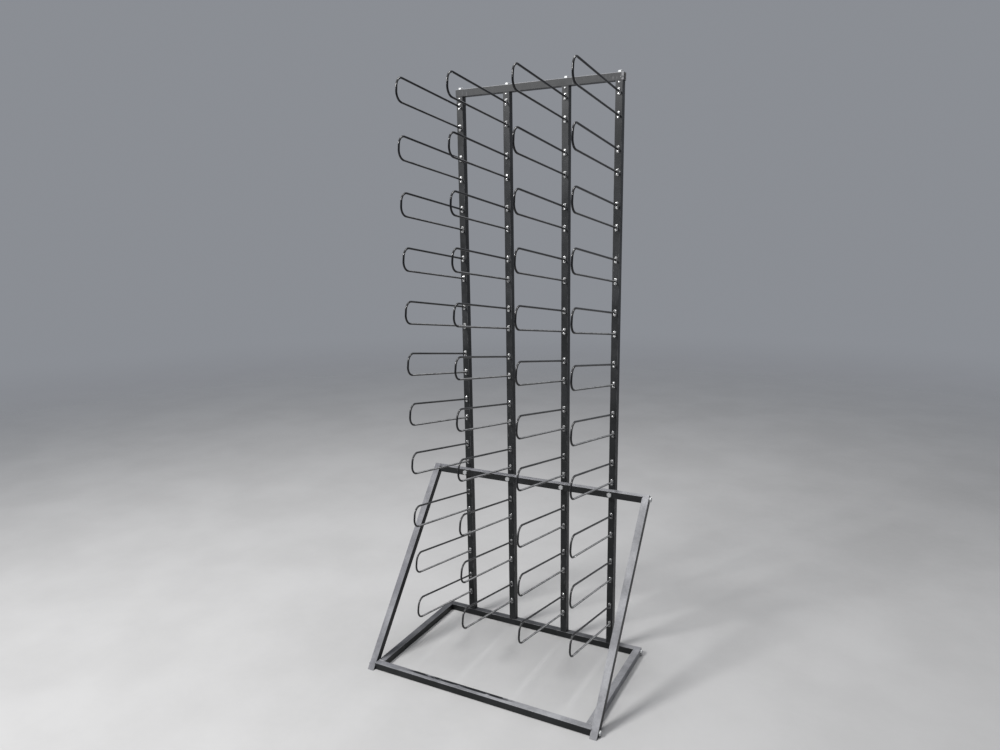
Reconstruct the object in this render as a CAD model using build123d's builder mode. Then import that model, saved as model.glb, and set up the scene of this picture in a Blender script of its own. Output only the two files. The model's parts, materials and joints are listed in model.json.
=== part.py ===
"""Free-standing display rack of square steel tube with four columns of wire hoop arms.

Millimetres, +Z up. The rack stands on z = 0, its columns run along X, and the hoop
arms point towards -Y. The origin is the middle of the footprint.
"""

from build123d import *
from math import atan2, cos, degrees, radians, sin, tan
import os

os.makedirs("parts", exist_ok=True)

# Square tube, the one section that every frame piece is cut from
TUBE = 25.0
WALL = 1.5
CORNER_R = 1.2
BORE_CORNER_R = 0.5

# Upright posts and the rows of hoops on them
POST_X = (-300.0, -111.5, 111.5, 300.0)
POST_HEIGHT = 2010.0
TOP_BAR_OVERHANG = 2.5
LOWEST_ROW_Z = 143.0
ROW_PITCH = 180.0
ROWS = 11
ROWS_ABOVE_GAP = 8
GAP_EXTRA = 22.0

# Hoop arms, bent from round wire and a little wider at the tip than at the post
WIRE_D = 7.0
ROOT_WIDTH = 72.5
TIP_WIDTH = 75.0
HOOP_LENGTH = 393.0
HOOP_BEND_R = 30.0

# Upward tilt of the hoops in degrees, growing evenly from the highest row to the lowest
HIGHEST_ROW_TILT = 6.8
LOWEST_ROW_TILT = 10.5

# Weld rings, and how far the rings and the wires run on before they are cut flush with the post
WELD_R = 6.0
WELD_TIP_R = 3.8
WELD_LENGTH = 5.0
WELD_TRIM = 1.0
WIRE_TRIM = 3.0

# Floor frame, cross bar and sloping struts
FRAME_WIDTH = 840.0
FLOOR_DEPTH = 480.0
CROSS_BAR_Z = 628.5
SPIGOT_SIDE = 20.0
SPIGOT_HEIGHT = 40.0
STRUT_END = 12.5

# M10 fasteners, and the plugs that take them in the tubes' ends
BOLT_D = 10.0
BOLT_HOLE_D = 11.0
HEAD_AF = 16.0
HEAD_HEIGHT = 6.4
NUT_HEIGHT = 8.4
HEX_CHAMFER = 0.8
SHORT_BOLT = 40.0
LONG_BOLT = 60.0
PLUG_SIDE = 21.6
PLUG_DEPTH = 15.0
PLUG_BORE_D = 10.3

# Directions that the tubes run in
UP = Vector(0, 0, 1)
ACROSS = Vector(1, 0, 0)
BACK = Vector(0, 1, 0)

# Places that follow from the sizes above
HALF = TUBE / 2
STRUT_INNER_X = FRAME_WIDTH / 2
STRUT_OUTER_X = STRUT_INNER_X + TUBE
SIDE_BAR_X = STRUT_INNER_X - HALF
POST_BOTTOM_Z = TUBE
POST_TOP_Z = POST_BOTTOM_Z + POST_HEIGHT
STRUT_RUN = FLOOR_DEPTH
STRUT_RISE = CROSS_BAR_Z - HALF
STRUT_ANGLE = atan2(STRUT_RUN, STRUT_RISE)

# Depth of the whole rack, from the strut toes to the ends of the long bolts, sets the origin
TOE_REACH = FLOOR_DEPTH + HALF + HALF * tan(STRUT_ANGLE) + HALF / cos(STRUT_ANGLE)
BOLT_TAIL_Y = LONG_BOLT - TUBE
FACE_Y = (TOE_REACH - BOLT_TAIL_Y) / 2
POST_Y = FACE_Y + HALF
CROSS_BAR_Y = FACE_Y - HALF
FRONT_BAR_Y = FACE_Y - FLOOR_DEPTH - HALF
REAR_EDGE_Y = FACE_Y + TUBE


def tube_section(plane):
    """The square tube's section, drawn on a plane."""
    with BuildSketch(plane) as section:
        RectangleRounded(TUBE, TUBE, CORNER_R)
        RectangleRounded(TUBE - 2 * WALL, TUBE - 2 * WALL, BORE_CORNER_R, mode=Mode.SUBTRACT)
    return section.sketch


def tube_along(start, direction, length):
    """Run square tube from a point, along a direction, inside a part block."""
    across = (1, 0, 0) if direction.X == 0 else (0, 1, 0)
    extrude(tube_section(Plane(start, x_dir=across, z_dir=direction)), amount=length)


def drill(spots, axis, diameter=BOLT_HOLE_D):
    """Drill bolt holes right through a tube at each spot, along one axis."""
    turns = {"x": (0, 90, 0), "y": (90, 0, 0), "z": (0, 0, 0)}
    with Locations(*spots):
        Cylinder(diameter / 2, 2 * TUBE, rotation=turns[axis], mode=Mode.SUBTRACT)


def keep(piece, name):
    """Name a finished piece and write it to its own file."""
    piece.part.label = name
    export_step(piece.part, f"parts/{name}.step")


def row_height(row):
    """Height of a row's centre at the posts; row 1 is the highest."""
    height = LOWEST_ROW_Z + ROW_PITCH * (ROWS - row)
    return height + GAP_EXTRA if row <= ROWS_ABOVE_GAP else height


def row_tilt(row):
    """Upward tilt of a row's hoops, in radians."""
    share = (row - 1) / (ROWS - 1)
    return radians(HIGHEST_ROW_TILT + (LOWEST_ROW_TILT - HIGHEST_ROW_TILT) * share)


# Posts: each stands on the rear bar and is drilled for the cross bar's bolt
for number, x in enumerate(POST_X, start=1):
    with BuildPart() as post:
        tube_along((x, POST_Y, POST_BOTTOM_Z), UP, POST_HEIGHT)
        drill([(x, POST_Y, CROSS_BAR_Z)], "y")
    keep(post, f"post_{number}")

# Top bar: lies on the post tops and ends just past the outer posts
with BuildPart() as top_bar:
    top_bar_end = POST_X[-1] + HALF + TOP_BAR_OVERHANG
    tube_along((-top_bar_end, POST_Y, POST_TOP_Z + HALF), ACROSS, 2 * top_bar_end)
    drill([(x, POST_Y, POST_TOP_Z + HALF) for x in POST_X], "z")
keep(top_bar, "top_bar")

# Cross bar: runs in front of the posts from strut to strut
with BuildPart() as cross_bar:
    tube_along((-STRUT_INNER_X, CROSS_BAR_Y, CROSS_BAR_Z), ACROSS, FRAME_WIDTH)
    drill([(x, CROSS_BAR_Y, CROSS_BAR_Z) for x in POST_X], "y")
keep(cross_bar, "cross_bar")

# Front floor bar, with the side bars welded to its back
with BuildPart() as front_bar:
    tube_along((-STRUT_INNER_X, FRONT_BAR_Y, HALF), ACROSS, FRAME_WIDTH)
keep(front_bar, "front_bar")

for side, name in ((-1, "side_bar_left"), (1, "side_bar_right")):
    with BuildPart() as side_bar:
        side_bar_start = FRONT_BAR_Y + HALF
        tube_along((side * SIDE_BAR_X, side_bar_start, HALF), BACK, REAR_EDGE_Y - side_bar_start)
        drill([(side * SIDE_BAR_X, POST_Y, HALF)], "x")
    keep(side_bar, name)

# Rear floor bar, with a short spigot standing up inside the foot of each post
with BuildPart() as rear_bar:
    rear_bar_end = SIDE_BAR_X - HALF
    tube_along((-rear_bar_end, POST_Y, HALF), ACROSS, 2 * rear_bar_end)
    with BuildSketch(Plane.XY.offset(TUBE)):
        with Locations(*[(x, POST_Y) for x in POST_X]):
            Rectangle(SPIGOT_SIDE, SPIGOT_SIDE)
            Rectangle(SPIGOT_SIDE - 2 * WALL, SPIGOT_SIDE - 2 * WALL, mode=Mode.SUBTRACT)
    extrude(amount=SPIGOT_HEIGHT)
keep(rear_bar, "rear_bar")

# Struts: slope from the cross bar's ends down to the front bar's ends, cut level at the floor
slope_down = Vector(0, -sin(STRUT_ANGLE), -cos(STRUT_ANGLE))
strut_length = (STRUT_RUN**2 + STRUT_RISE**2) ** 0.5
for side, name in ((-1, "strut_left"), (1, "strut_right")):
    strut_x = side * (STRUT_INNER_X + HALF)
    with BuildPart() as strut:
        top = Vector(strut_x, CROSS_BAR_Y, CROSS_BAR_Z) - slope_down * STRUT_END
        tube_along(top, slope_down, strut_length + STRUT_END + 2 * TUBE)
        split(bisect_by=Plane.XY, keep=Keep.TOP)
        drill([(strut_x, CROSS_BAR_Y, CROSS_BAR_Z), (strut_x, FRONT_BAR_Y, HALF)], "x")
    keep(strut, name)

# Hoop arms: each is one bent wire, both ends cut flush with the post and ringed with weld
for row in range(1, ROWS + 1):
    tilt = row_tilt(row)
    for column, x in enumerate(POST_X, start=1):
        arm = Plane((x, FACE_Y, row_height(row)), x_dir=(0, -cos(tilt), sin(tilt)), z_dir=(1, 0, 0))
        top_start = ROOT_WIDTH / 2 * tan(tilt)
        with BuildPart() as hoop:
            with BuildLine(arm) as bend:
                FilletPolyline(
                    (top_start - WIRE_TRIM, -ROOT_WIDTH / 2),
                    (HOOP_LENGTH, -TIP_WIDTH / 2),
                    (HOOP_LENGTH, TIP_WIDTH / 2),
                    (-top_start - WIRE_TRIM, ROOT_WIDTH / 2),
                    radius=HOOP_BEND_R,
                )
            with BuildSketch(Plane(bend.line @ 0, z_dir=bend.line % 0)):
                Circle(WIRE_D / 2)
            sweep()
            for edge, start in ((-ROOT_WIDTH / 2, top_start), (ROOT_WIDTH / 2, -top_start)):
                with BuildSketch(Plane(arm.from_local_coords((start - WELD_TRIM, edge, 0)), z_dir=arm.x_dir)):
                    Circle(WELD_R)
                extrude(amount=WELD_LENGTH, taper=degrees(atan2(WELD_R - WELD_TIP_R, WELD_LENGTH)))
            split(bisect_by=Plane.XZ.offset(-FACE_Y), keep=Keep.TOP)
        keep(hoop, f"hoop_r{row:02d}_c{column}")

# Bolts, nuts and end plugs: one of each kind is made along +Z from its seat, then copied
with BuildPart() as bolt_head:
    with BuildSketch():
        RegularPolygon(HEAD_AF / 2, 6, major_radius=False)
    extrude(amount=HEAD_HEIGHT)
    chamfer(bolt_head.faces().sort_by(Axis.Z)[-1].edges(), HEX_CHAMFER)

with BuildPart() as short_bolt:
    add(bolt_head.part)
    with Locations((0, 0, -SHORT_BOLT)):
        Cylinder(BOLT_D / 2, SHORT_BOLT, align=(Align.CENTER, Align.CENTER, Align.MIN))

with BuildPart() as long_bolt:
    add(bolt_head.part)
    with Locations((0, 0, -LONG_BOLT)):
        Cylinder(BOLT_D / 2, LONG_BOLT, align=(Align.CENTER, Align.CENTER, Align.MIN))

with BuildPart() as nut:
    with BuildSketch():
        RegularPolygon(HEAD_AF / 2, 6, major_radius=False)
        Circle(PLUG_BORE_D / 2, mode=Mode.SUBTRACT)
    extrude(amount=NUT_HEIGHT)
    chamfer(nut.edges().filter_by(GeomType.LINE).group_by(Axis.Z)[-1], HEX_CHAMFER)

with BuildPart() as plug:
    with BuildSketch():
        RectangleRounded(PLUG_SIDE, PLUG_SIDE, BORE_CORNER_R)
        Circle(PLUG_BORE_D / 2, mode=Mode.SUBTRACT)
    extrude(amount=-PLUG_DEPTH)

# Seats of the side bolts: strut tops, strut feet and the rear ends of the side bars
side_seats = []
plug_seats = [Location((x, POST_Y, POST_TOP_Z)) for x in POST_X]
for side in (-1, 1):
    outward = (side, 0, 0)
    for y, z in ((CROSS_BAR_Y, CROSS_BAR_Z), (FRONT_BAR_Y, HALF)):
        side_seats.append(Plane((side * STRUT_OUTER_X, y, z), x_dir=(0, 0, 1), z_dir=outward).location)
        plug_seats.append(Plane((side * STRUT_INNER_X, y, z), x_dir=(0, 0, 1), z_dir=outward).location)
    side_seats.append(Plane((side * STRUT_INNER_X, POST_Y, HALF), x_dir=(0, 0, 1), z_dir=outward).location)
    plug_seats.append(Plane((side * rear_bar_end, POST_Y, HALF), x_dir=(0, 0, 1), z_dir=outward).location)

top_seats = [Location((x, POST_Y, POST_TOP_Z + TUBE)) for x in POST_X]
with BuildPart() as bolts_short:
    with Locations(*top_seats, *side_seats):
        add(short_bolt.part)
keep(bolts_short, "bolts_short")

front_seats = []
nut_seats = []
for x in POST_X:
    front_seats.append(Plane((x, FACE_Y - TUBE, CROSS_BAR_Z), x_dir=(0, 0, 1), z_dir=(0, -1, 0)).location)
    nut_seats.append(Plane((x, REAR_EDGE_Y, CROSS_BAR_Z), x_dir=(0, 0, 1), z_dir=(0, 1, 0)).location)
with BuildPart() as bolts_long:
    with Locations(*front_seats):
        add(long_bolt.part)
keep(bolts_long, "bolts_long")

with BuildPart() as nuts:
    with Locations(*nut_seats):
        add(nut.part)
keep(nuts, "nuts")

with BuildPart() as end_plugs:
    with Locations(*plug_seats):
        add(plug.part)
keep(end_plugs, "end_plugs")
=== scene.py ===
"""Looks of the display rack: materials, weld beads, floor, lights and camera.

Everything is in metres, in the row's own frame: +Z up, hoop arms towards -Y.
"""

import json
from math import cos, pi, radians, sin, tan

import bmesh
import bpy
from mathutils import Matrix, Vector, noise


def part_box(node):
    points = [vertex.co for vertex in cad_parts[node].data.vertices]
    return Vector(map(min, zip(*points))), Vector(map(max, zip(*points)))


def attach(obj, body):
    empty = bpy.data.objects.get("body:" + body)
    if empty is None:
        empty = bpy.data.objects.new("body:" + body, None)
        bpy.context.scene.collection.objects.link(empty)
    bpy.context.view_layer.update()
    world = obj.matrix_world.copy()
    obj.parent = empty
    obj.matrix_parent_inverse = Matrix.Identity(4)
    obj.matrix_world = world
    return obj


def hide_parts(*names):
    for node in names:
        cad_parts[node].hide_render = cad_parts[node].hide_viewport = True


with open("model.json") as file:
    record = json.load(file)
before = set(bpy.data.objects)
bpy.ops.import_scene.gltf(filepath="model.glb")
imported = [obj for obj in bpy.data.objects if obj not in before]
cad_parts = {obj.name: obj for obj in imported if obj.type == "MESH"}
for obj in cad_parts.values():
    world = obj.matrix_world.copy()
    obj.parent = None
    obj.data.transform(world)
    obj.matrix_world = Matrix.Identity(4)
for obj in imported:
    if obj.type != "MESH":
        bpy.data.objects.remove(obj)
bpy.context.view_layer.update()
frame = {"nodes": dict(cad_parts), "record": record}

COLUMNS = 4
ROWS = 11

# Name of the mesh attribute that says how worn a wire is
WEAR = "wear"

# Hoop wires, as in the row's own parts: the centre line's sizes, and the upward tilt of the
# highest and the lowest row in degrees
WIRE_R = 0.0035
ROOT_WIDTH = 0.0725
TIP_WIDTH = 0.075
HOOP_LENGTH = 0.393
HOOP_BEND_R = 0.030
HIGHEST_ROW_TILT = 6.8
LOWEST_ROW_TILT = 10.5

post_low, post_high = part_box("post_1")
front_low, front_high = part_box("front_bar")
FACE_Y = post_low.y
TUBE = post_high.x - post_low.x

# Camera: a little above head height at the rack's front right corner
CAMERA_X = 1.1687
CAMERA_FROM_FACE = -2.4953
CAMERA_Z = 1.5836
CAMERA_YAW = 0.487
CAMERA_PITCH = 0.217
CAMERA_ROLL = -0.015
SENSOR_MM = 36.0
LENS_MM = 27.33
SHIFT_Y = 0.01732


def add_camera():
    """The camera looks down its own -Z, level apart from a slight roll."""
    ahead = cos(CAMERA_PITCH)
    forward = Vector((-sin(CAMERA_YAW) * ahead, cos(CAMERA_YAW) * ahead, -sin(CAMERA_PITCH)))
    level = Vector((cos(CAMERA_YAW), sin(CAMERA_YAW), 0))
    upright = level.cross(forward)
    right = cos(CAMERA_ROLL) * level + sin(CAMERA_ROLL) * upright
    up = cos(CAMERA_ROLL) * upright - sin(CAMERA_ROLL) * level
    data = bpy.data.cameras.new("camera")
    data.sensor_width = SENSOR_MM
    data.lens = LENS_MM
    data.shift_y = SHIFT_Y
    data.clip_end = 100
    camera = bpy.data.objects.new("camera", data)
    turn = Matrix((right, up, -forward)).transposed().to_4x4()
    camera.matrix_world = Matrix.Translation((CAMERA_X, FACE_Y + CAMERA_FROM_FACE, CAMERA_Z)) @ turn
    bpy.context.scene.collection.objects.link(camera)
    bpy.context.scene.camera = camera


class Nodes:
    """A material's node tree, with short calls for the nodes that the materials below share."""

    def __init__(self, name):
        self.material = bpy.data.materials.new(name)
        self.material.use_nodes = True
        self.tree = self.material.node_tree
        self.tree.nodes.clear()
        self.shader = self.add("ShaderNodeBsdfPrincipled")
        output = self.add("ShaderNodeOutputMaterial")
        self.link(self.shader.outputs["BSDF"], output.inputs["Surface"])
        self.place = self.add("ShaderNodeTexCoord").outputs["Object"]
        self.normal = self.add("ShaderNodeNewGeometry").outputs["Normal"]

    def add(self, kind, **settings):
        node = self.tree.nodes.new(kind)
        for key, value in settings.items():
            setattr(node, key, value)
        return node

    def link(self, source, target):
        self.tree.links.new(source, target)

    def feed(self, socket, value):
        if isinstance(value, bpy.types.NodeSocket):
            self.link(value, socket)
        else:
            socket.default_value = value

    def stretch(self, scale):
        """Object coordinates, scaled apart along each axis."""
        node = self.add("ShaderNodeMapping")
        self.link(self.place, node.inputs["Vector"])
        node.inputs["Scale"].default_value = scale
        return node.outputs["Vector"]

    def noise(self, scale, detail=4.0, rough=0.55, vector=None):
        node = self.add("ShaderNodeTexNoise")
        self.link(vector or self.place, node.inputs["Vector"])
        node.inputs["Scale"].default_value = scale
        node.inputs["Detail"].default_value = detail
        node.inputs["Roughness"].default_value = rough
        return node.outputs["Fac"]

    def ramp(self, value, low, high, out_low=0.0, out_high=1.0):
        """A smooth step of value between low and high."""
        node = self.add("ShaderNodeMapRange", interpolation_type="SMOOTHSTEP")
        self.feed(node.inputs["Value"], value)
        for key, number in (("From Min", low), ("From Max", high), ("To Min", out_low), ("To Max", out_high)):
            self.feed(node.inputs[key], number)
        return node.outputs["Result"]

    def math(self, operation, first, second=0.0):
        node = self.add("ShaderNodeMath", operation=operation, use_clamp=operation == "ADD")
        self.feed(node.inputs[0], first)
        self.feed(node.inputs[1], second)
        return node.outputs[0]

    def mix(self, share, first, second):
        """Blend two colours."""
        node = self.add("ShaderNodeMix", data_type="RGBA")
        self.feed(node.inputs["Factor"], share)
        self.feed(node.inputs["A"], first)
        self.feed(node.inputs["B"], second)
        return node.outputs["Result"]

    def axis(self, vector, index):
        node = self.add("ShaderNodeSeparateXYZ")
        self.link(vector, node.inputs[0])
        return node.outputs[index]

    def turn(self, vector, angle):
        """Turn a vector about X."""
        node = self.add("ShaderNodeVectorRotate", rotation_type="X_AXIS")
        self.link(vector, node.inputs["Vector"])
        node.inputs["Angle"].default_value = angle
        return node.outputs["Vector"]

    def bump(self, height, distance, strength=1.0, below=None):
        node = self.add("ShaderNodeBump")
        node.inputs["Strength"].default_value = strength
        node.inputs["Distance"].default_value = distance
        self.link(height, node.inputs["Height"])
        if below is not None:
            self.link(below, node.inputs["Normal"])
        return node.outputs["Normal"]

    def set(self, **sockets):
        """Feed the shader's own sockets; underscores in a name stand for spaces."""
        for key, value in sockets.items():
            self.feed(self.shader.inputs[key.replace("_", " ")], value)


def rgb(red, green, blue):
    return (red, green, blue, 1.0)


# Where the frame paint is marked, along X: the rubbed streak on the front bar's top, the worn right
# end of the top bar and the outer face of the right side bar, lightened with painted light
RUBBED_X = (-0.30, 0.13)
TOP_END_X = 0.302
SIDE_FACE_X = (0.415, 0.428)

# Where the floor frame gets less of the dust colour and stays darker: ranges along X and up over which this
# sets in
REAR_DARKER_X = (0.37, 0.33)
LEFT_DARKER_X = (-0.2, -0.3)
FLOOR_FRAME_Z = (0.10, 0.04)

# The struts' slope from upright in radians, and how bare the left strut's inner corner is
STRUT_SLOPE = 0.6618
LEFT_STRUT_EDGE = 0.7

# From a tube's axis to just inside the face of its wall
BORE_HALF = 0.0111


def bore_mask(m, centre, slope, run):
    """Where a tube's bare inside shows: nearer its axis than the wall. The tube runs along one axis."""
    offset = m.add("ShaderNodeVectorMath", operation="SUBTRACT")
    m.link(m.place, offset.inputs[0])
    offset.inputs[1].default_value = centre
    turned = m.turn(offset.outputs["Vector"], slope)
    others = [m.math("ABSOLUTE", m.axis(turned, index)) for index in range(3) if index != run]
    return m.math("LESS_THAN", m.math("MAXIMUM", others[0], others[1]), BORE_HALF)


def darker_floor_mask(m, along, depth, height):
    """Where the floor frame gets less of the dust colour and stays darker: the rear bar, and the frame's left
    end.
    """
    low_down = m.ramp(height, *FLOOR_FRAME_Z)
    rear = m.math("MULTIPLY", m.ramp(depth, FACE_Y - 0.01, FACE_Y), low_down)
    rear = m.math("MULTIPLY", rear, m.ramp(along, *REAR_DARKER_X, 0.0, 0.72))
    left = m.math("MULTIPLY", m.ramp(depth, front_high.y, front_high.y + 0.05), low_down)
    left = m.math("MULTIPLY", left, m.ramp(along, *LEFT_DARKER_X, 0.0, 0.5))
    return m.math("MAXIMUM", rear, left)


def streak_mask(m, along, depth, height):
    """The ragged streak on the front bar's top where the dust has been rubbed off."""
    rub = m.ramp(m.noise(55.0, 5.0, 0.7, m.stretch((0.35, 1.0, 1.0))), 0.40, 0.50)
    behind = m.ramp(depth, front_low.y + 0.40 * TUBE, front_low.y + 0.60 * TUBE)
    in_front = m.ramp(depth, front_high.y + 0.004, front_high.y - 0.001)
    begun = m.ramp(along, RUBBED_X[0] - 0.04, RUBBED_X[0] + 0.04)
    ended = m.ramp(along, RUBBED_X[1] + 0.05, RUBBED_X[1] - 0.05)
    streak = m.math("MULTIPLY", m.math("MULTIPLY", begun, ended), m.math("MULTIPLY", behind, in_front))
    return m.math("MULTIPLY", m.math("MULTIPLY", streak, m.ramp(height, 0.05, 0.03)), rub)


def lit_side_face_mask(m, along, height):
    """The outer face of the right side bar, lightened with painted light as if lit from the right."""
    side = m.math("MULTIPLY", m.ramp(m.axis(m.normal, 0), 0.80, 0.97), m.ramp(height, 0.06, 0.03))
    side = m.math("MULTIPLY", side, m.ramp(along, SIDE_FACE_X[0], SIDE_FACE_X[0] + 0.003))
    return m.math("MULTIPLY", side, m.ramp(along, SIDE_FACE_X[1], SIDE_FACE_X[1] - 0.003))


def corner_mask(m, slope):
    """A tube's rounded corners, where the normal of the squared-up tube lies along no axis."""
    turned = m.turn(m.normal, slope)
    flat = m.math("MAXIMUM", m.math("ABSOLUTE", m.axis(turned, 1)), m.math("ABSOLUTE", m.axis(turned, 2)))
    flat = m.math("MAXIMUM", flat, m.math("ABSOLUTE", m.axis(turned, 0)))
    return m.ramp(flat, 0.985, 0.90)


def top_end_mask(m, along, height):
    """The mottled wear on the top bar's right end."""
    above_posts = m.ramp(height, post_high.z, post_high.z + 0.002)
    end = m.math("MULTIPLY", m.ramp(along, TOP_END_X, TOP_END_X + 0.012), above_posts)
    return m.math("MULTIPLY", end, m.ramp(m.noise(130.0, 4.0), 0.44, 0.56, 0.08, 0.60))


def scuff_mask(m, slope):
    """Fine scratches along the tube, and chips."""
    grain = m.stretch((420.0, 420.0, 26.0)) if slope == 0.0 else m.stretch((420.0, 60.0, 45.0))
    scratch = m.ramp(m.noise(1.0, 4.0, 0.6, grain), 0.64, 0.72, 0.0, 0.5)
    scuff = m.math("MULTIPLY", scratch, m.ramp(m.noise(5.0, 2.0), 0.52, 0.66))
    chip = m.ramp(m.noise(70.0, 3.0, 0.6), 0.70, 0.73, 0.0, 0.7)
    return m.math("ADD", scuff, m.math("MULTIPLY", chip, m.ramp(m.noise(6.0, 3.0), 0.50, 0.62)))


def frame_paint(name, slope=0.0, bore=None, inner_edge=0.0):
    """Semi-gloss black on square tube: grey dust on what faces up, a painted sheen that lightens the tubes
    towards the top of the rack, painted light that lightens the right end and the right side bar's outer
    face, worn corners and scuffs.

    The slope, in radians about X, squares up the normals of a sloping tube, so that its corners are found.
    The bore is the tube's centre and the axis it runs along, for tubes with an open end in sight.
    The inner edge is how bare the corners on the tube's right side are.
    """
    m = Nodes(name)
    up = m.axis(m.normal, 2)
    height = m.axis(m.place, 2)
    along = m.axis(m.place, 0)
    depth = m.axis(m.place, 1)
    cloud = m.noise(9.0, 5.0)
    fine = m.noise(160.0, 3.0)
    paint = m.mix(m.ramp(cloud, 0.35, 0.68), rgb(0.005, 0.006, 0.006), rgb(0.012, 0.013, 0.014))

    # Dust film with a painted reflection: it is made lighter towards the top of the rack, as a sheen of the
    # surround on the upper tubes, and faint low down
    dust_film_and_sheen = m.ramp(m.noise(5.0, 6.0, 0.65), 0.35, 0.75, 0.02, 0.07)
    dust_film_and_sheen = m.math("MULTIPLY", dust_film_and_sheen, m.ramp(height, 0.55, 1.5, 0.2, 1.6))
    patchy = m.ramp(m.noise(11.0, 6.0, 0.65), 0.25, 0.70, 0.60, 1.0)
    settled = m.math("MULTIPLY", m.ramp(up, 0.18, 0.60), patchy)
    for held_back in (darker_floor_mask(m, along, depth, height), streak_mask(m, along, depth, height)):
        settled = m.math("MULTIPLY", settled, m.math("SUBTRACT", 1.0, held_back))
    # Painted light on the outer face of the right side bar
    side = m.math("MULTIPLY", lit_side_face_mask(m, along, height), patchy)
    dust_and_sheen = m.math("ADD", m.math("ADD", dust_film_and_sheen, settled), side)
    thin = m.mix(fine, rgb(0.13, 0.13, 0.145), rgb(0.22, 0.22, 0.235))
    thick = m.mix(fine, rgb(0.29, 0.29, 0.305), rgb(0.44, 0.44, 0.45))
    # Painted light: the dust colour is made lighter towards the right of the rack, as if lit from the right;
    # the mottle laid over it is random tone
    mottle = m.ramp(m.noise(1.0, 5.0, 0.6, m.stretch((9.0, 9.0, 5.0))), 0.30, 0.70, -0.30, 0.30)
    lit_from_right_and_mottle = m.math("ADD", m.ramp(along, -0.50, 0.50, 0.15, 0.80), mottle)
    colour = m.mix(dust_and_sheen, paint, m.mix(lit_from_right_and_mottle, thin, thick))

    corner = corner_mask(m, slope)
    worn = m.math("MULTIPLY", corner, m.ramp(m.noise(24.0, 5.0, 0.7), 0.42, 0.60, 0.10, 0.85))
    worn = m.math("MULTIPLY", worn, m.ramp(up, -0.2, 0.3, 0.25, 1.0))
    edge = m.math("MULTIPLY", corner, m.ramp(m.axis(m.normal, 0), 0.2, 0.5, 0.0, inner_edge))
    worn = m.math("MAXIMUM", worn, m.math("MAXIMUM", edge, top_end_mask(m, along, height)))
    colour = m.mix(worn, colour, rgb(0.36, 0.36, 0.37))
    scuff = scuff_mask(m, slope)
    colour = m.mix(scuff, colour, rgb(0.40, 0.40, 0.40))

    rough = m.math("ADD", m.ramp(cloud, 0.3, 0.7, 0.34, 0.46), m.math("MULTIPLY", dust_and_sheen, 0.30))
    if bore:
        centre, run = bore
        inside = bore_mask(m, centre, slope, run)
        steel = m.mix(m.noise(60.0, 4.0), rgb(0.30, 0.29, 0.28), rgb(0.52, 0.51, 0.50))
        colour = m.mix(inside, colour, steel)
    orange_peel = m.bump(m.noise(420.0, 2.0), 0.00012, 0.5)
    m.set(Base_Color=colour, Roughness=rough, Normal=m.bump(scuff, 0.00008, 0.6, orange_peel))
    m.shader.inputs["Specular IOR Level"].default_value = 0.28
    return m.material


def wire_paint():
    """Glossy black enamel on round wire, rubbed to bright steel on the lower wires, with a painted highlight:
    the bright band lies on the upper face short of its very top, stronger on the lower rows.
    """
    m = Nodes("wire_paint")
    up = m.axis(m.normal, 2)
    cloud = m.noise(26.0, 4.0)
    paint = m.mix(m.ramp(cloud, 0.35, 0.7), rgb(0.003, 0.003, 0.004), rgb(0.008, 0.008, 0.009))
    wear = m.add("ShaderNodeAttribute", attribute_name=WEAR).outputs["Fac"]
    # Painted highlight: the bright band fades out on the very top of the wire so it reads as a highlight
    # line, and grows on the lower rows; it also marks where the lower wires are rubbed to steel
    low_down = m.ramp(m.axis(m.place, 2), 1.7, 0.9, 0.45, 1.0)
    patchy = m.ramp(m.noise(34.0, 5.0, 0.65), 0.30, 0.60, 0.45, 1.0)
    highlight_band = m.math("MULTIPLY", m.ramp(up, 0.05, 0.45), m.ramp(up, 1.02, 0.80))
    rubbed_and_highlight = m.math("MULTIPLY", m.math("MULTIPLY", highlight_band, patchy), m.math("MULTIPLY", low_down, wear))
    steel = m.mix(m.noise(200.0, 3.0), rgb(0.48, 0.48, 0.48), rgb(0.74, 0.73, 0.72))
    rough = m.math("ADD", m.ramp(cloud, 0.3, 0.7, 0.10, 0.19), m.math("MULTIPLY", rubbed_and_highlight, 0.20))
    m.set(Base_Color=m.mix(rubbed_and_highlight, paint, steel), Roughness=rough, Metallic=m.math("MULTIPLY", rubbed_and_highlight, 0.25))
    m.set(Normal=m.bump(m.noise(300.0, 2.0), 0.00006, 0.5))
    m.shader.inputs["Specular IOR Level"].default_value = 0.3
    m.shader.inputs["Coat Weight"].default_value = 0.12
    m.shader.inputs["Coat Roughness"].default_value = 0.05
    m.shader.inputs["Coat IOR"].default_value = 1.5
    return m.material


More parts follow.
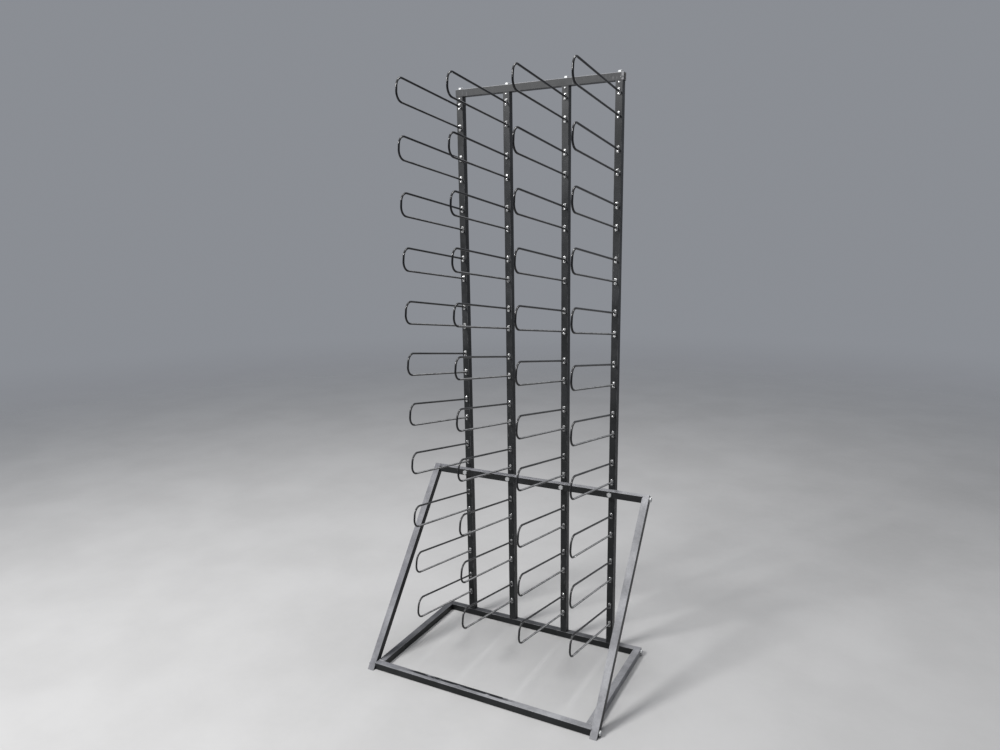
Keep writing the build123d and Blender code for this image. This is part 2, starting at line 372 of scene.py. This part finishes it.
def weld_paint():
    """Glossy black paint over a weld bead, with painted glints: light grey, partly metallic patches on the
    faces turned to the front and up, fainter on the lower rows.
    """
    m = Nodes("weld_paint")
    cloud = m.noise(180.0, 3.0)
    paint = m.mix(m.ramp(cloud, 0.35, 0.7), rgb(0.006, 0.006, 0.007), rgb(0.02, 0.02, 0.021))
    # Painted glints: light patches on bead faces turned to the front and up, fading on the lower rows
    facing = m.ramp(m.axis(m.normal, 1), -0.35, -0.85)
    painted_glint = m.math("MULTIPLY", m.ramp(m.noise(330.0, 3.0), 0.46, 0.54), facing)
    above = m.ramp(m.axis(m.normal, 2), 0.25, 0.55)
    painted_glint = m.math("MAXIMUM", painted_glint, m.math("MULTIPLY", m.ramp(m.noise(260.0, 2.0), 0.45, 0.52), above))
    painted_glint = m.math("MULTIPLY", painted_glint, m.ramp(m.axis(m.place, 2), 0.5, 1.3, 0.40, 1.0))
    colour = m.mix(painted_glint, paint, rgb(0.78, 0.78, 0.77))
    rough = m.ramp(cloud, 0.3, 0.7, 0.14, 0.28)
    m.set(Base_Color=colour, Roughness=rough, Metallic=m.math("MULTIPLY", painted_glint, 0.4))
    m.set(Normal=m.bump(m.noise(500.0, 3.0), 0.0002, 0.6))
    m.shader.inputs["Specular IOR Level"].default_value = 0.8
    m.shader.inputs["Coat Weight"].default_value = 1.0
    m.shader.inputs["Coat Roughness"].default_value = 0.08
    m.shader.inputs["Coat IOR"].default_value = 1.6
    return m.material


def zinc():
    """Dull zinc plate, slightly clouded, with grime in patches."""
    m = Nodes("zinc")
    cloud = m.noise(220.0, 4.0)
    grime = m.ramp(m.noise(90.0, 4.0), 0.55, 0.75, 0.0, 0.5)
    plate = m.mix(m.ramp(cloud, 0.3, 0.7), rgb(0.40, 0.41, 0.42), rgb(0.52, 0.52, 0.51))
    m.set(Base_Color=m.mix(grime, plate, rgb(0.25, 0.24, 0.22)))
    m.set(Roughness=m.ramp(cloud, 0.3, 0.7, 0.32, 0.48))
    m.set(Normal=m.bump(m.noise(900.0, 2.0), 0.00005, 0.4))
    m.shader.inputs["Metallic"].default_value = 0.45
    return m.material


def bare_steel():
    """Plain machined steel for the plugs inside the tubes."""
    m = Nodes("bare_steel")
    lines = m.noise(1.0, 3.0, 0.6, m.stretch((90.0, 90.0, 900.0)))
    m.set(Base_Color=m.mix(m.ramp(lines, 0.3, 0.7), rgb(0.30, 0.29, 0.28), rgb(0.45, 0.44, 0.43)))
    m.set(Roughness=m.ramp(lines, 0.3, 0.7, 0.35, 0.5))
    m.shader.inputs["Metallic"].default_value = 1.0
    return m.material


# The floor's half width, and the distances from the rack over which it fades out
FLOOR_HALF = 10
FLOOR_FADE = (2.0, 9.0)


def floor_plaster():
    """A plain pale floor with a trace of mottling, which fades out into the surround far from the rack."""
    m = Nodes("floor_plaster")
    colour = m.mix(m.ramp(m.noise(2.0, 5.0), 0.3, 0.7), rgb(0.43, 0.425, 0.42), rgb(0.47, 0.465, 0.46))
    m.set(Base_Color=colour, Roughness=m.ramp(m.noise(30.0, 3.0), 0.3, 0.7, 0.75, 0.9))
    reach = m.add("ShaderNodeVectorMath", operation="LENGTH")
    m.link(m.place, reach.inputs[0])
    clear = m.add("ShaderNodeBsdfTransparent")
    blend = m.add("ShaderNodeMixShader")
    m.link(m.ramp(reach.outputs["Value"], FLOOR_FADE[0], FLOOR_FADE[1]), blend.inputs["Fac"])
    m.link(m.shader.outputs["BSDF"], blend.inputs[1])
    m.link(clear.outputs["BSDF"], blend.inputs[2])
    output = next(node for node in m.tree.nodes if node.type == "OUTPUT_MATERIAL")
    m.link(blend.outputs["Shader"], output.inputs["Surface"])
    return m.material


def paint_nodes():
    """Give every carried-over CAD node the material of its record slot."""
    slots = {part["node"]: part["material_slot"] for part in frame["record"]["subparts"]}
    looks = {
        "black_frame_paint": frame_paint("frame_paint"),
        "black_wire_paint": wire_paint(),
        "zinc_plate": zinc(),
        "bare_steel": bare_steel(),
    }
    strut_foot = (front_low.y + TUBE / 2, TUBE / 2)
    open_ended = {
        "top_bar": (0.0, 0),
        "side_bar_left": (0.0, 1),
        "side_bar_right": (0.0, 1),
        "strut_left": (STRUT_SLOPE, 2),
        "strut_right": (STRUT_SLOPE, 2),
    }
    for name, piece in frame["nodes"].items():
        look = looks[slots[name]]
        if name in open_ended:
            slope, run = open_ended[name]
            low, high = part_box(name)
            centre = (low + high) / 2
            if slope:
                centre = Vector((centre.x, *strut_foot))
            edge = LEFT_STRUT_EDGE if name == "strut_left" else 0.0
            look = frame_paint(f"{name}_paint", slope, (centre, run), edge)
        piece.data.materials.clear()
        piece.data.materials.append(look)
    return looks


def new_piece(name, mesh_data, material):
    """Turn mesh data into a piece that rides with the rack."""
    mesh = bpy.data.meshes.new(name)
    mesh_data.to_mesh(mesh)
    mesh_data.free()
    for face in mesh.polygons:
        face.use_smooth = True
    mesh.materials.append(material)
    piece = bpy.data.objects.new(name, mesh)
    bpy.context.scene.collection.objects.link(piece)
    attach(piece, "root")
    return piece


# Wire meshes: sides around the wire and steps around each bend
WIRE_SIDES = 16
BEND_STEPS = 18

# Wear on the upper wire, around the bends and on the lower wire
UPPER_WEAR = 0.14
BEND_WEAR = 0.12
LOWER_WEAR = 1.0


def wire_ends(hoop):
    """Heights at which a hoop's two wires meet its post."""
    points = [vert.co for vert in frame["nodes"][hoop].data.vertices if vert.co.y > FACE_Y - 0.0005]
    middle = (min(p.z for p in points) + max(p.z for p in points)) / 2
    lower = [p.z for p in points if p.z < middle]
    upper = [p.z for p in points if p.z > middle]
    return (min(lower) + max(lower)) / 2, (min(upper) + max(upper)) / 2


def row_tilt(row):
    """Upward tilt of a row's hoops in radians; it grows evenly from row to row."""
    share = (row - 1) / (ROWS - 1)
    return radians(HIGHEST_ROW_TILT + (LOWEST_ROW_TILT - HIGHEST_ROW_TILT) * share)


def hoop_path(tilt):
    """The hoop's centre line from its upper end to its lower end, as (along, up) in the plane of the arm."""
    start = Vector((ROOT_WIDTH / 2 * tan(tilt), ROOT_WIDTH / 2))
    corners = (Vector((HOOP_LENGTH, TIP_WIDTH / 2)), Vector((HOOP_LENGTH, -TIP_WIDTH / 2)))
    finish = Vector((-start.x, -start.y))
    path = [(start, (corners[0] - start).normalized())]
    for before, corner, after in ((start, corners[0], corners[1]), (corners[0], corners[1], finish)):
        into = (corner - before).normalized()
        out = (after - corner).normalized()
        sweep = into.angle(out)
        inward = Vector((into.y, -into.x))
        begin = corner - into * HOOP_BEND_R * tan(sweep / 2)
        centre = begin + inward * HOOP_BEND_R
        for step in range(BEND_STEPS + 1):
            turn = sweep * step / BEND_STEPS
            spot = centre - inward * HOOP_BEND_R * cos(turn) + into * HOOP_BEND_R * sin(turn)
            path.append((spot, into * cos(turn) + inward * sin(turn)))
    path.append((finish, (finish - corners[1]).normalized()))
    return path


def add_tube(mesh_data, rings):
    """Join rings of vertices into one smooth tube."""
    made = [[mesh_data.verts.new(point) for point in ring] for ring in rings]
    for first, second in zip(made, made[1:]):
        for index in range(len(first)):
            following = (index + 1) % len(first)
            mesh_data.faces.new((first[index], first[following], second[following], second[index]))


def add_wires(material):
    """One smooth bent wire in place of each hoop, cut flush with the post."""
    for row in range(1, ROWS + 1):
        tilt = row_tilt(row)
        outward = Vector((0, -cos(tilt), sin(tilt)))
        upward = Vector((0, sin(tilt), cos(tilt)))
        for column in range(1, COLUMNS + 1):
            hoop = f"hoop_r{row:02d}_c{column}"
            low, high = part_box(hoop)
            root = Vector(((low.x + high.x) / 2, FACE_Y, sum(wire_ends(hoop)) / 2))
            rings = []
            path = hoop_path(tilt)
            for step, (spot, heading) in enumerate(path):
                centre = root + outward * spot.x + upward * spot.y
                ahead = outward * heading.x + upward * heading.y
                across = Vector((1, 0, 0))
                above = ahead.cross(across)
                turns = [2 * pi * side / WIRE_SIDES for side in range(WIRE_SIDES)]
                ring = [centre + (across * cos(turn) + above * sin(turn)) * WIRE_R for turn in turns]
                if step in (0, len(path) - 1):
                    ring = [point + ahead * ((FACE_Y - point.y) / ahead.y) for point in ring]
                rings.append(ring)
            wire_mesh = bmesh.new()
            add_tube(wire_mesh, rings)
            bmesh.ops.recalc_face_normals(wire_mesh, faces=wire_mesh.faces)
            bent = [BEND_WEAR] * (len(rings) - 4)
            levels = (UPPER_WEAR, UPPER_WEAR, *bent, LOWER_WEAR, LOWER_WEAR)
            wear = [level for level in levels for _ in range(WIRE_SIDES)]
            wire = new_piece(f"wire_r{row:02d}_c{column}", wire_mesh, material)
            wire.data.attributes.new(WEAR, "FLOAT", "POINT").data.foreach_set("value", wear)
            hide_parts(hoop)


# Weld on each wire end: a lumpy collar around the wire, with a bead above and a bead below it
COLLAR = ((0.0, 0.0064), (0.0012, 0.0059), (0.0025, 0.0051), (0.0038, 0.0043), (0.0050, 0.0036))
COLLAR_LUMPS = 0.0007
BEAD_SIZE = (0.0062, 0.0040, 0.0052)
BEAD_FROM_WIRE = 0.0070
BEAD_SHIFT = 0.0012
BEAD_ROUGHNESS = 0.24

# Small bead on each post's face, just under the top bar
TACK_DROP = 0.006
TACK_SIZE = (0.0045, 0.0018, 0.0028)

# Weld seams on the floor frame: a row of overlapping beads
SEAM_BEAD = 0.0026
SEAM_FLATNESS = 0.6
SEAM_STEP = 0.0019


def add_bead(mesh_data, centre, size):
    """A lumpy half-sunk bead, its bumps set by where it lies."""
    made = bmesh.ops.create_icosphere(mesh_data, subdivisions=3, radius=1.0)
    for vert in made["verts"]:
        lump = 1 + BEAD_ROUGHNESS * noise.noise(vert.co * 1.3 + centre * 170)
        vert.co = centre + Vector((vert.co.x * size[0], vert.co.y * size[1], vert.co.z * size[2])) * lump


def add_collar(mesh_data, end, outward):
    """Weld that rises from the post's face to the wire."""
    above = Vector((1, 0, 0)).cross(outward)
    rings = []
    for along, radius in COLLAR:
        ring = []
        for side in range(WIRE_SIDES):
            turn = 2 * pi * side / WIRE_SIDES
            spoke = Vector((1, 0, 0)) * cos(turn) + above * sin(turn)
            lump = COLLAR_LUMPS * noise.noise((end + spoke * radius) * 420)
            ring.append(end + outward * along + spoke * (radius + lump))
        rings.append(ring)
    rings[0] = [point + outward * ((FACE_Y - point.y) / outward.y) for point in rings[0]]
    add_tube(mesh_data, rings)


def add_welds(material):
    """Weld on every wire end and a bead under the top bar, one piece for each post."""
    for column in range(1, COLUMNS + 1):
        low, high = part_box(f"post_{column}")
        x = (low.x + high.x) / 2
        beads = bmesh.new()
        for row in range(1, ROWS + 1):
            tilt = row_tilt(row)
            for height in wire_ends(f"hoop_r{row:02d}_c{column}"):
                end = Vector((x, FACE_Y, height))
                add_collar(beads, end, Vector((0, -cos(tilt), sin(tilt))))
                for side in (-1, 1):
                    sideways = BEAD_SHIFT * noise.noise(end * 90 + Vector((side, 0, 0)))
                    spot = end + Vector((sideways, 0, side * BEAD_FROM_WIRE))
                    add_bead(beads, spot, BEAD_SIZE)
        add_bead(beads, Vector((x, FACE_Y, high.z - TACK_DROP)), TACK_SIZE)
        bmesh.ops.recalc_face_normals(beads, faces=beads.faces)
        new_piece(f"weld_beads_{column}", beads, material)


def add_seams(material):
    """Weld seams where the side bars butt against the back of the front bar."""
    seams = bmesh.new()
    joint_y = front_high.y
    for side_bar in ("side_bar_left", "side_bar_right"):
        low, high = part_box(side_bar)
        inner = high.x if side_bar == "side_bar_left" else low.x
        top = Vector((low.x + SEAM_BEAD, joint_y, high.z))
        steps = int((TUBE - 2 * SEAM_BEAD) / SEAM_STEP)
        for step in range(steps + 1):
            spot = top + Vector((step * SEAM_STEP, 0, 0))
            add_bead(seams, spot, (SEAM_BEAD, SEAM_BEAD, SEAM_BEAD * SEAM_FLATNESS))
            down = Vector((inner, joint_y, high.z - SEAM_BEAD - step * SEAM_STEP))
            add_bead(seams, down, (SEAM_BEAD * SEAM_FLATNESS, SEAM_BEAD, SEAM_BEAD))
    new_piece("floor_frame_seams", seams, material)


# Soft lights: where each stands and aims, its width and height in metres and its power in watts
LIGHTS = {
    "key": ((-2.0, -3.0, 4.0), (0, 0, 0.9), 1.2, 1.2, 260),
    "top": ((0.2, 0.4, 4.8), (0, 0, 0.8), 2.2, 1.8, 110),
}
SURROUND_COLOUR = (0.80, 0.84, 0.92)
SURROUND_STRENGTH = 0.32


def area_light(name, place, target, width, height, power):
    """A rectangular light that faces its target."""
    data = bpy.data.lights.new(name, "AREA")
    data.shape = "RECTANGLE"
    data.size = width
    data.size_y = height
    data.energy = power
    light = bpy.data.objects.new(name, data)
    light.location = place
    light.rotation_euler = (Vector(target) - Vector(place)).to_track_quat("-Z", "Y").to_euler()
    bpy.context.scene.collection.objects.link(light)


def add_stage():
    """Pale floor, soft light from above and from the front left, and an even surround."""
    data = bmesh.new()
    bmesh.ops.create_grid(data, x_segments=8, y_segments=8, size=FLOOR_HALF)
    mesh = bpy.data.meshes.new("floor")
    data.to_mesh(mesh)
    data.free()
    mesh.materials.append(floor_plaster())
    floor = bpy.data.objects.new("floor", mesh)
    bpy.context.scene.collection.objects.link(floor)

    world = bpy.data.worlds.new("surround")
    world.use_nodes = True
    world.node_tree.nodes["Background"].inputs["Color"].default_value = rgb(*SURROUND_COLOUR)
    world.node_tree.nodes["Background"].inputs["Strength"].default_value = SURROUND_STRENGTH
    bpy.context.scene.world = world

    for name, settings in LIGHTS.items():
        area_light(name, *settings)


add_camera()
looks = paint_nodes()
add_wires(looks["black_wire_paint"])
add_welds(weld_paint())
add_seams(looks["black_frame_paint"])
add_stage()

view_settings = bpy.context.scene.view_settings
view_settings.view_transform = "Standard"
view_settings.look = "None"
